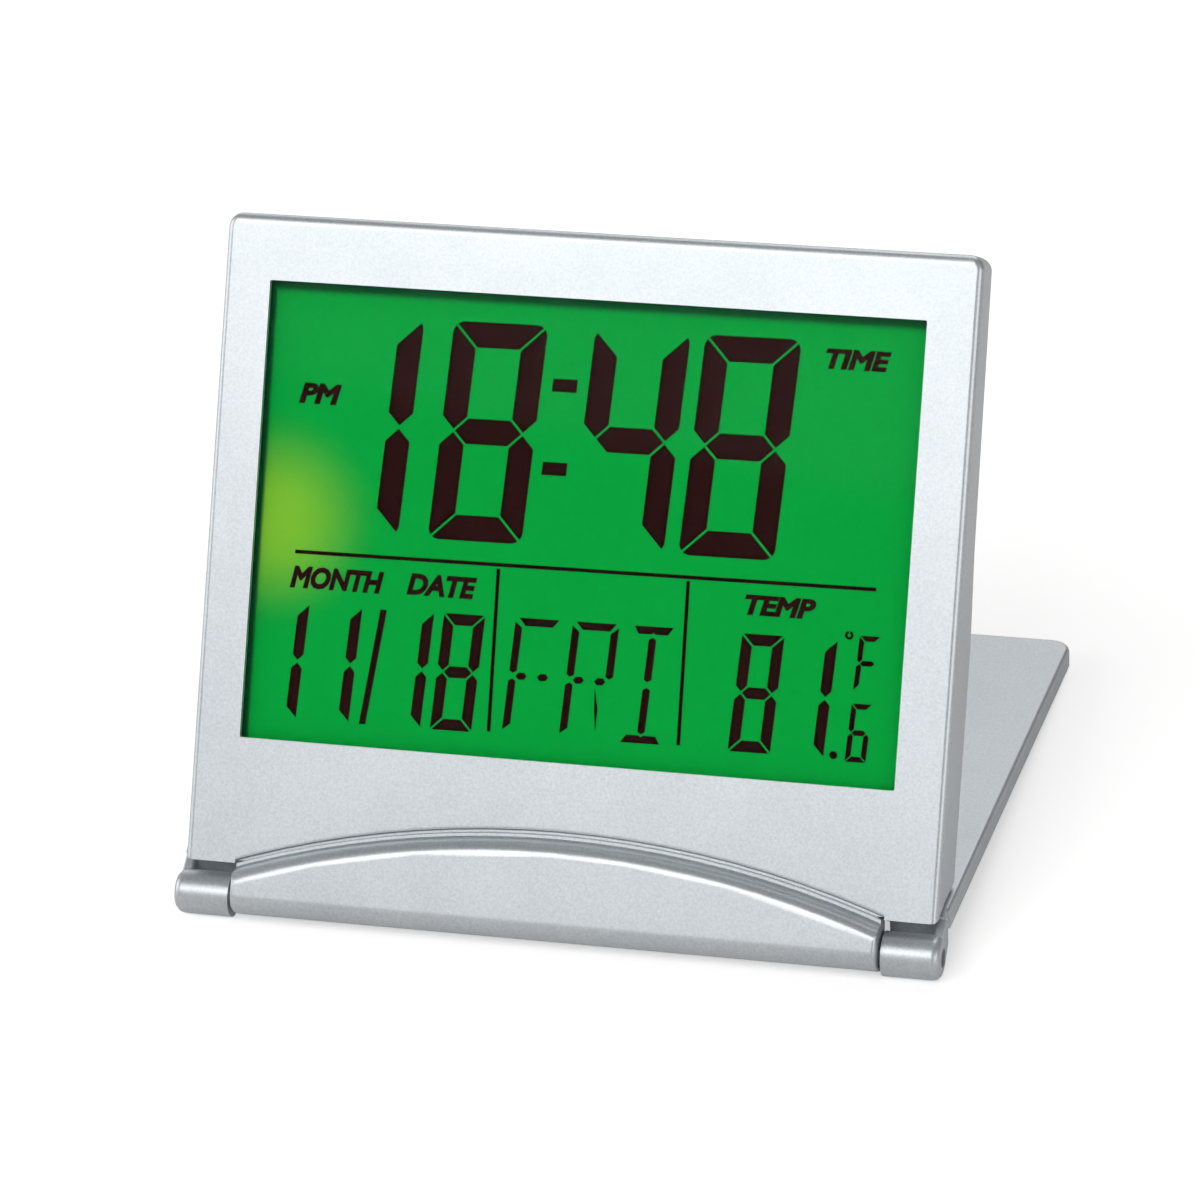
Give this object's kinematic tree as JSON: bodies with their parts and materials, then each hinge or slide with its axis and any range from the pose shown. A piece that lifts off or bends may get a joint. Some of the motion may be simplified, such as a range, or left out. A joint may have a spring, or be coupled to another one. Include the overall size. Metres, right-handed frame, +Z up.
{
  "type": "folding digital alarm clock",
  "caption": "Folding digital alarm clock: silver case leaning back on its hinged flat cover, wide green liquid-crystal display, arched swelling over the hinge barrel.",
  "frame": {"origin": "centre of the footprint on the table, under the clock standing open", "axes": "+X to the right as the display is read, +Y from the reader towards the back, +Z up"},
  "size_m": [0.0866, 0.0782, 0.0701],
  "materials": {
    "silver_shell": "cool silver metallic paint, fine grain, satin",
    "clear_window": "clear, polished",
    "display_green": "even green, faintly lit from the left",
    "display_dark": "dark brown-black figures",
    "light_guide": "milky, lets light through",
    "pale_frame": "plain moulded",
    "contact_rubber": "striped, soft",
    "board_green": "lacquered board",
    "black_parts": "plain black",
    "button_grey": "satin grey",
    "bright_steel": "bright"
  },
  "bodies": {
    "display_case": {"alarm_buzzer": "black_parts", "alarm_switch_housing": "black_parts", "back_cover": "silver_shell", "backlight_led": "light_guide", "barrel_screw_7": "bright_steel", "barrel_screw_8": "bright_steel", "battery_contact_negative": "bright_steel", "battery_contact_positive": "bright_steel", "board_screw_5": "bright_steel", "board_screw_6": "bright_steel", "case_screw_1": "bright_steel", "case_screw_2": "bright_steel", "case_screw_3": "bright_steel", "case_screw_4": "bright_steel", "circuit_board": "board_green", "coin_cell": "bright_steel", "contact_strip": "contact_rubber", "display_carrier": "pale_frame", "display_window": "clear_window", "down_dome": "bright_steel", "driver_chip": "black_parts", "front_shell": "silver_shell", "hinge_barrel": "silver_shell", "lcd_film": "display_green", "lcd_glass": "display_dark", "light_dome": "bright_steel", "light_guide": "light_guide", "mode_dome": "bright_steel", "quartz_crystal": "bright_steel", "set_dome": "bright_steel", "temperature_sensor": "black_parts", "up_dome": "bright_steel"},
    "stand": {"stand_cover": "silver_shell", "hinge_pin_left": "bright_steel", "hinge_pin_right": "bright_steel"},
    "door": {"battery_door": "silver_shell"},
    "switch_knob": {"alarm_switch": "black_parts"},
    "mode_key": {"mode_button": "button_grey"},
    "set_key": {"set_button": "button_grey"},
    "up_key": {"up_button": "button_grey"},
    "down_key": {"down_button": "button_grey"},
    "light_key": {"light_button": "button_grey"}
  },
  "joints": [
    {"name": "cover_hinge", "type": "hinge", "parent": "display_case", "child": "stand", "pos_m": [0, -0.03554, 0.0024], "axis": [-1, 0, 0], "range_deg": [0, 293.39]},
    {"name": "door_twist", "type": "hinge", "parent": "display_case", "child": "door", "pos_m": [-0.024, -0.02043, 0.01875], "axis": [0, -0.8934, 0.4493], "range_deg": [0, 30]},
    {"name": "alarm_slide", "type": "slide", "parent": "display_case", "child": "switch_knob", "axis": [1, 0, 0], "range_m": [0, 0.002]},
    {"name": "mode_press", "type": "slide", "parent": "display_case", "child": "mode_key", "axis": [0, -0.8934, 0.4493], "range_m": [0, 0.0005], "stiffness_N_per_m": 2000},
    {"name": "set_press", "type": "slide", "parent": "display_case", "child": "set_key", "axis": [0, -0.8934, 0.4493], "range_m": [0, 0.0005], "stiffness_N_per_m": 2000},
    {"name": "up_press", "type": "slide", "parent": "display_case", "child": "up_key", "axis": [0, -0.8934, 0.4493], "range_m": [0, 0.0005], "stiffness_N_per_m": 2000},
    {"name": "down_press", "type": "slide", "parent": "display_case", "child": "down_key", "axis": [0, -0.8934, 0.4493], "range_m": [0, 0.0005], "stiffness_N_per_m": 2000},
    {"name": "light_press", "type": "slide", "parent": "display_case", "child": "light_key", "axis": [0, -0.8934, 0.4493], "range_m": [0, 0.0005], "stiffness_N_per_m": 2000}
  ]
}
